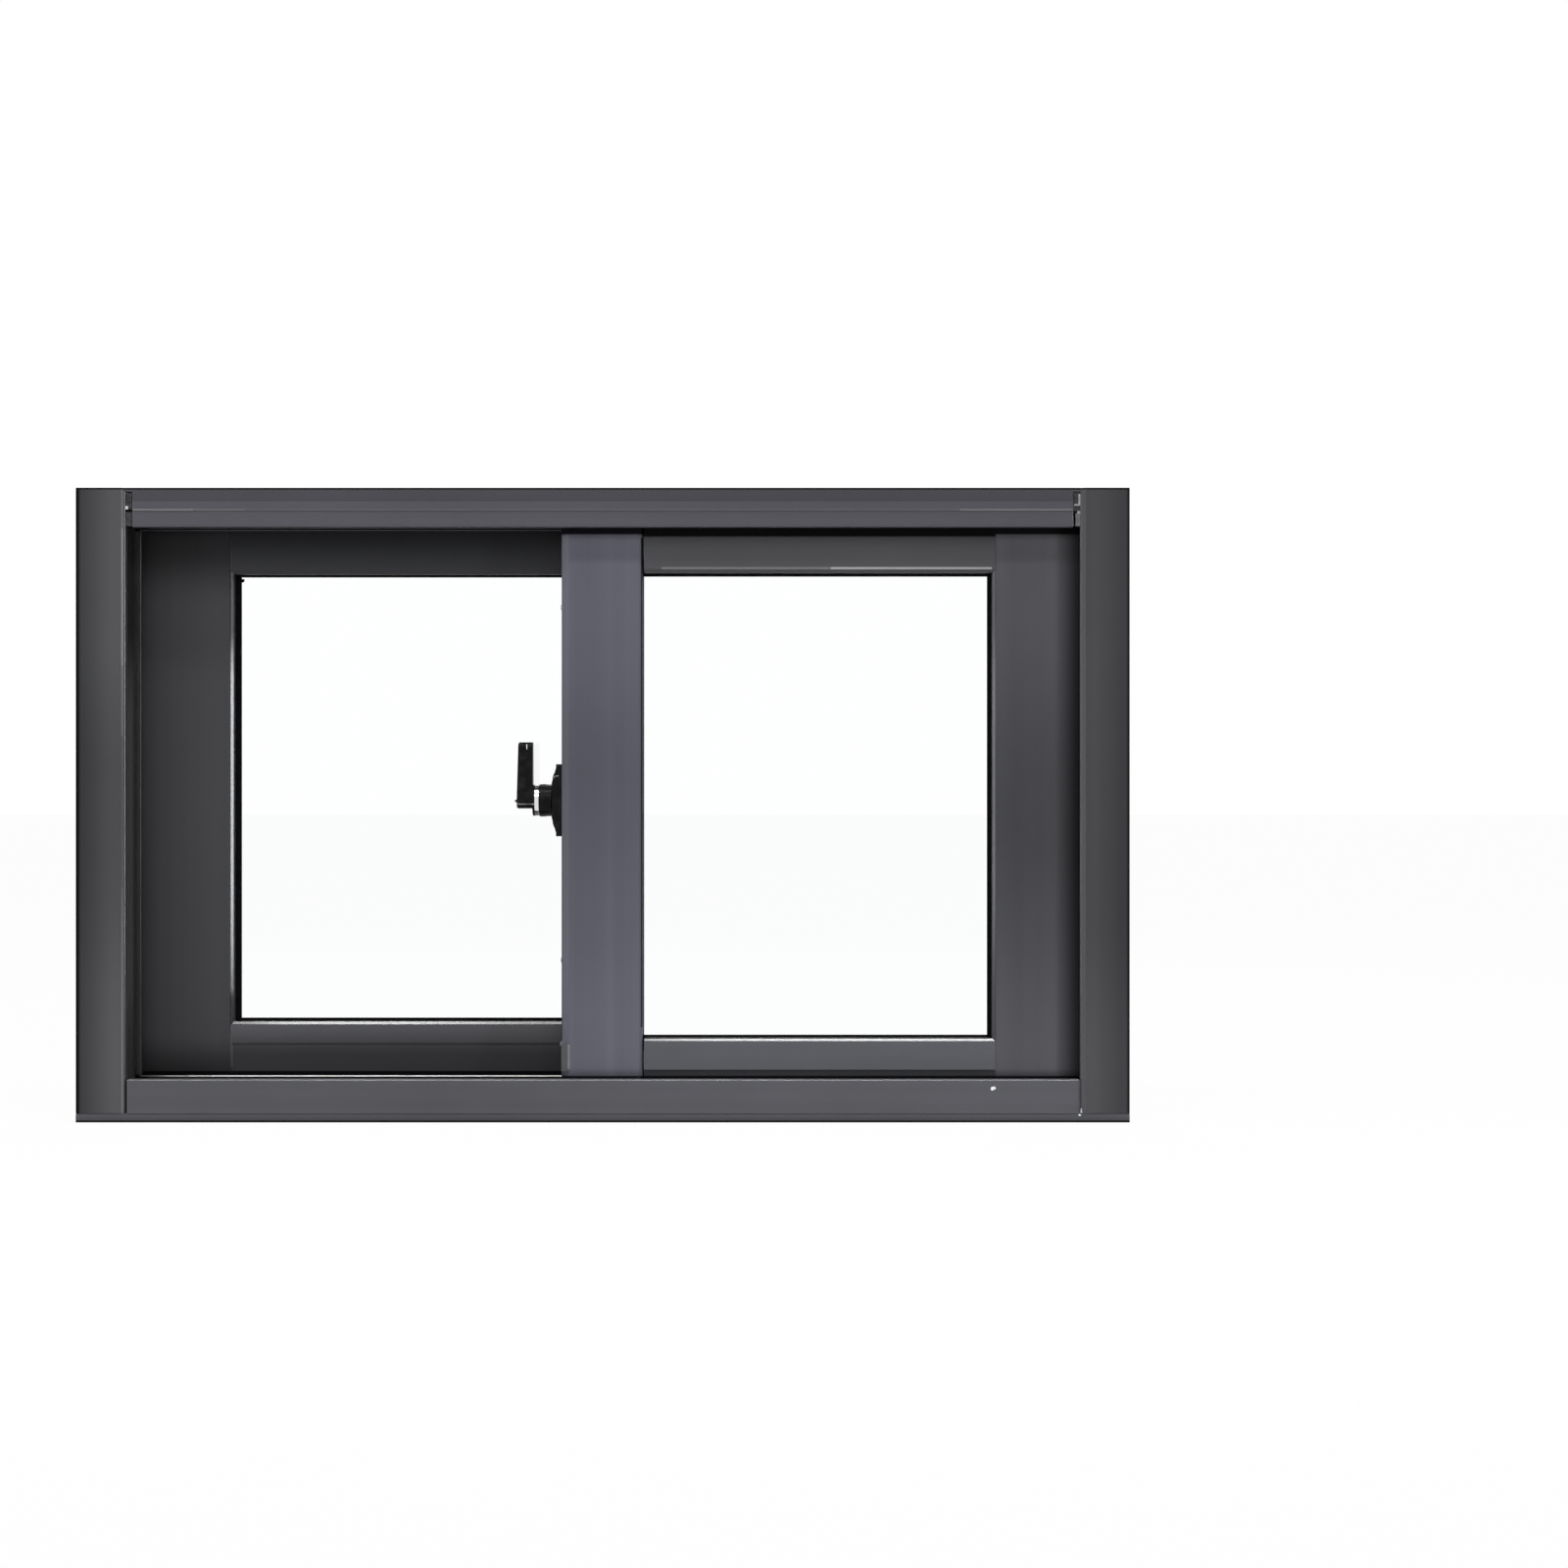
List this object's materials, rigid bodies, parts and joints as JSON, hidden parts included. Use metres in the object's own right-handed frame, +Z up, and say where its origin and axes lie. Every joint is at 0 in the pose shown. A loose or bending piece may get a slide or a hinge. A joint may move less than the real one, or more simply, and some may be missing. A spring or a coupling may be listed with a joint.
{
  "type": "horizontal sliding window",
  "caption": "Two-sash horizontal sliding window in a deep aluminium frame, with clear glass and a crescent lock on the meeting stile.",
  "frame": {"origin": "under the middle of the sill, at the centre of the frame's width and depth", "axes": "+X across the window to the right seen from the room, +Y from the room to the weather side, +Z up"},
  "size_m": [0.9, 0.11, 0.542],
  "materials": {
    "frame_finish": "anthracite powder coat, satin",
    "sash_finish": "anthracite powder coat, satin",
    "glass": "clear float glass",
    "gasket": "black rubber, matte",
    "pile": "dark woven pile",
    "foam": "dark closed-cell foam",
    "wheel": "natural nylon",
    "bracket": "zinc-plated steel",
    "lock_black": "black enamelled die casting",
    "lock_chrome": "polished chrome",
    "keeper": "zinc-plated steel",
    "end_block": "dark moulded plastic"
  },
  "bodies": {
    "window": {"corner_pads": "foam", "front_sash_bottom_rail": "sash_finish", "front_sash_end_block": "end_block", "front_sash_glass": "glass", "front_sash_glazing_gasket": "gasket", "front_sash_meeting_stile": "sash_finish", "front_sash_roller_brackets": "bracket", "front_sash_roller_wheels": "wheel", "front_sash_side_stile": "sash_finish", "front_sash_top_rail": "sash_finish", "head": "frame_finish", "head_and_sill_pile_strips": "pile", "interlock_pile_strips": "pile", "jamb_pile_strips": "pile", "left_jamb": "frame_finish", "lock_base": "lock_black", "lock_keeper": "keeper", "rear_sash_bottom_rail": "sash_finish", "rear_sash_glass": "glass", "rear_sash_glazing_gasket": "gasket", "rear_sash_meeting_stile": "sash_finish", "rear_sash_roller_brackets": "bracket", "rear_sash_roller_wheels": "wheel", "rear_sash_side_stile": "sash_finish", "rear_sash_top_rail": "sash_finish", "right_jamb": "frame_finish", "sill": "frame_finish"},
    "lock_handle": {"lock_cam": "lock_black", "lock_hub": "lock_black", "lock_ring": "lock_chrome", "lock_lever": "lock_black"}
  },
  "joints": [
    {"name": "lock_turn", "type": "hinge", "parent": "window", "child": "lock_handle", "pos_m": [-0.05, -0.025, 0.275], "axis": [1, 0, 0], "range_deg": [0, 180]}
  ]
}
